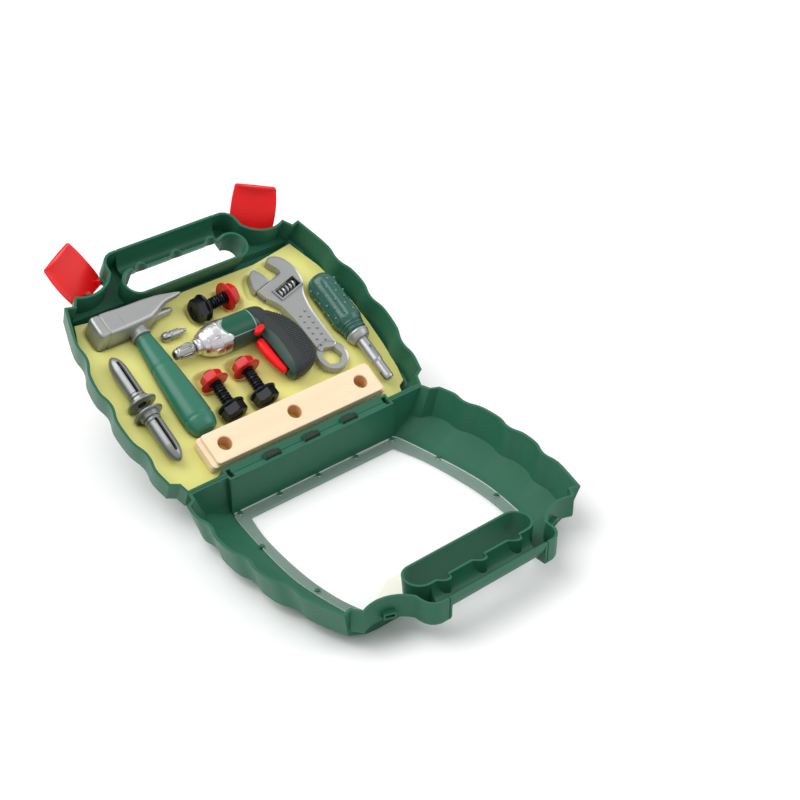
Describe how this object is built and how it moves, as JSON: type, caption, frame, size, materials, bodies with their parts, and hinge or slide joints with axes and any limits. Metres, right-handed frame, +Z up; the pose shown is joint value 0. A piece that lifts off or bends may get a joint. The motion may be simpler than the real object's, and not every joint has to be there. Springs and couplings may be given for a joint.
{
  "type": "toy tool box",
  "caption": "Open hinged toy tool case with a windowed lid, snap latches, a formed insert and a set of toy hand tools that lift out.",
  "frame": {"origin": "on the flat outer face of the lid's front strip, midway along the hinge, 12 mm from the hinge axis, on the table", "axes": "+X along the hinge, to the right when looking from the lid into the open tray; +Y from the lid towards the raised tray half; +Z up"},
  "size_m": [0.3256, 0.5113, 0.1875],
  "materials": {
    "green_plastic": "semi-gloss moulded plastic",
    "dark_green_plastic": "semi-gloss moulded plastic",
    "teal_plastic": "semi-gloss moulded plastic",
    "red_plastic": "glossy moulded plastic",
    "yellow_sheet": "glossy thermoformed sheet",
    "label_yellow": "bare printed sheet",
    "grey_plastic": "satin metallic-grey plastic",
    "dark_grey_plastic": "matte plastic",
    "steel_plastic": "satin silver plastic",
    "chrome_plastic": "bright plated plastic",
    "black_plastic": "semi-gloss moulded plastic",
    "grip_rubber": "matte textured soft plastic",
    "beech": "plain sanded wood",
    "clear_pane": "clear glossy sheet"
  },
  "bodies": {
    "lid": {"lid_shell": "green_plastic", "window_pane": "clear_pane", "label_panel": "label_yellow"},
    "tray": {"back_shell": "green_plastic", "insert_tray": "yellow_sheet"},
    "latch_left": {"latch_left": "red_plastic"},
    "latch_right": {"latch_right": "red_plastic"},
    "hammer": {"hammer_head": "grey_plastic", "hammer_handle": "teal_plastic"},
    "wall_plug_1": {"wall_plug_1": "grey_plastic"},
    "wall_plug_2": {"wall_plug_2": "grey_plastic"},
    "bit": {"bit": "steel_plastic"},
    "bolt_1": {"bolt_1": "black_plastic"},
    "bolt_2": {"bolt_2": "black_plastic"},
    "bolt_3": {"bolt_3": "black_plastic"},
    "nut_1": {"nut_1": "red_plastic"},
    "nut_2": {"nut_2": "red_plastic"},
    "nut_3": {"nut_3": "red_plastic"},
    "wrench": {"wrench_body": "grey_plastic", "worm_pin": "dark_grey_plastic"},
    "wrench_jaw": {"wrench_jaw": "grey_plastic"},
    "wrench_worm": {"wrench_worm": "dark_grey_plastic"},
    "screwdriver": {"screwdriver_handle": "dark_green_plastic", "screwdriver_ferrule": "grey_plastic", "screwdriver_shaft": "steel_plastic"},
    "beam": {"beam": "beech"},
    "driver": {"driver_housing_upper": "dark_green_plastic", "driver_housing_lower": "dark_green_plastic", "driver_nose": "chrome_plastic", "driver_grip": "grip_rubber", "driver_motor": "grey_plastic", "cell_1": "dark_grey_plastic", "cell_2": "dark_grey_plastic", "battery_door": "dark_green_plastic"},
    "driver_chuck": {"driver_chuck": "grey_plastic"},
    "driver_trigger": {"driver_trigger": "red_plastic"},
    "driver_switch": {"driver_switch": "red_plastic"}
  },
  "joints": [
    {"name": "case_hinge", "type": "hinge", "parent": "lid", "child": "tray", "pos_m": [0, 0.012, 0.0442], "axis": [1, 0, 0], "range_deg": [-29, 150.9]},
    {"name": "latch_left_pivot", "type": "hinge", "parent": "tray", "child": "latch_left", "pos_m": [-0.0926, 0.23179, 0.14464], "axis": [0.8815, 0.4127, 0.2294], "range_deg": [-10, 60]},
    {"name": "latch_right_pivot", "type": "hinge", "parent": "tray", "child": "latch_right", "pos_m": [0.0926, 0.23179, 0.14464], "axis": [0.8815, -0.4127, -0.2294], "range_deg": [-28, 42]},
    {"name": "hammer_lift", "type": "slide", "parent": "tray", "child": "hammer", "axis": [0, 0.4859, -0.874], "range_m": [-0.04, 0]},
    {"name": "wall_plug_1_lift", "type": "slide", "parent": "tray", "child": "wall_plug_1", "axis": [0, 0.4859, -0.874], "range_m": [-0.04, 0]},
    {"name": "wall_plug_2_lift", "type": "slide", "parent": "tray", "child": "wall_plug_2", "axis": [0, 0.4859, -0.874], "range_m": [-0.04, 0]},
    {"name": "bit_lift", "type": "slide", "parent": "tray", "child": "bit", "axis": [0, 0.4859, -0.874], "range_m": [-0.04, 0]},
    {"name": "bolt_1_lift", "type": "slide", "parent": "tray", "child": "bolt_1", "axis": [0, 0.4859, -0.874], "range_m": [-0.04, 0]},
    {"name": "bolt_2_lift", "type": "slide", "parent": "tray", "child": "bolt_2", "axis": [0, 0.4859, -0.874], "range_m": [-0.04, 0]},
    {"name": "bolt_3_lift", "type": "slide", "parent": "tray", "child": "bolt_3", "axis": [0, 0.4859, -0.874], "range_m": [-0.04, 0]},
    {"name": "wrench_lift", "type": "slide", "parent": "tray", "child": "wrench", "axis": [0, 0.4859, -0.874], "range_m": [-0.04, 0]},
    {"name": "screwdriver_lift", "type": "slide", "parent": "tray", "child": "screwdriver", "axis": [0, 0.4859, -0.874], "range_m": [-0.04, 0]},
    {"name": "beam_lift", "type": "slide", "parent": "tray", "child": "beam", "axis": [0, 0.4859, -0.874], "range_m": [-0.04, 0]},
    {"name": "driver_lift", "type": "slide", "parent": "tray", "child": "driver", "axis": [0, 0.4859, -0.874], "range_m": [-0.04, 0]},
    {"name": "nut_1_spin", "type": "hinge", "parent": "bolt_1", "child": "nut_1", "pos_m": [-0.0165, 0.17312, 0.11557], "axis": [0.9968, 0.0701, 0.039], "continuous": true},
    {"name": "nut_2_spin", "type": "hinge", "parent": "bolt_2", "child": "nut_2", "pos_m": [-0.0435, 0.06954, 0.058], "axis": [0, 0.874, 0.4859], "continuous": true},
    {"name": "nut_3_spin", "type": "hinge", "parent": "bolt_3", "child": "nut_3", "pos_m": [-0.0055, 0.06954, 0.058], "axis": [0, 0.874, 0.4859], "continuous": true},
    {"name": "worm_spin", "type": "hinge", "parent": "wrench", "child": "wrench_worm", "pos_m": [0.0908, 0.16479, 0.10545], "axis": [0.9632, 0.235, 0.1307], "range_deg": [-318, 635]},
    {"name": "jaw_slide", "type": "slide", "parent": "wrench", "child": "wrench_jaw", "axis": [0.9632, 0.235, 0.1307], "range_m": [-0.005, 0.01]},
    {"name": "chuck_spin", "type": "hinge", "parent": "driver", "child": "driver_chuck", "pos_m": [-0.05, 0.13917, 0.10048], "axis": [1, 0, 0], "continuous": true},
    {"name": "trigger_press", "type": "slide", "parent": "driver", "child": "driver_trigger", "axis": [1, 0, 0], "range_m": [0, 0.0035], "stiffness_N_per_m": 200, "springref_m": -0.001},
    {"name": "switch_slide", "type": "slide", "parent": "driver", "child": "driver_switch", "axis": [0.9397, 0.2989, 0.1662], "range_m": [-0.0025, 0.0025]}
  ],
  "couplings": [
    {"joint": "worm_spin", "follows": "jaw_slide", "rad_per_m": 1106}
  ]
}
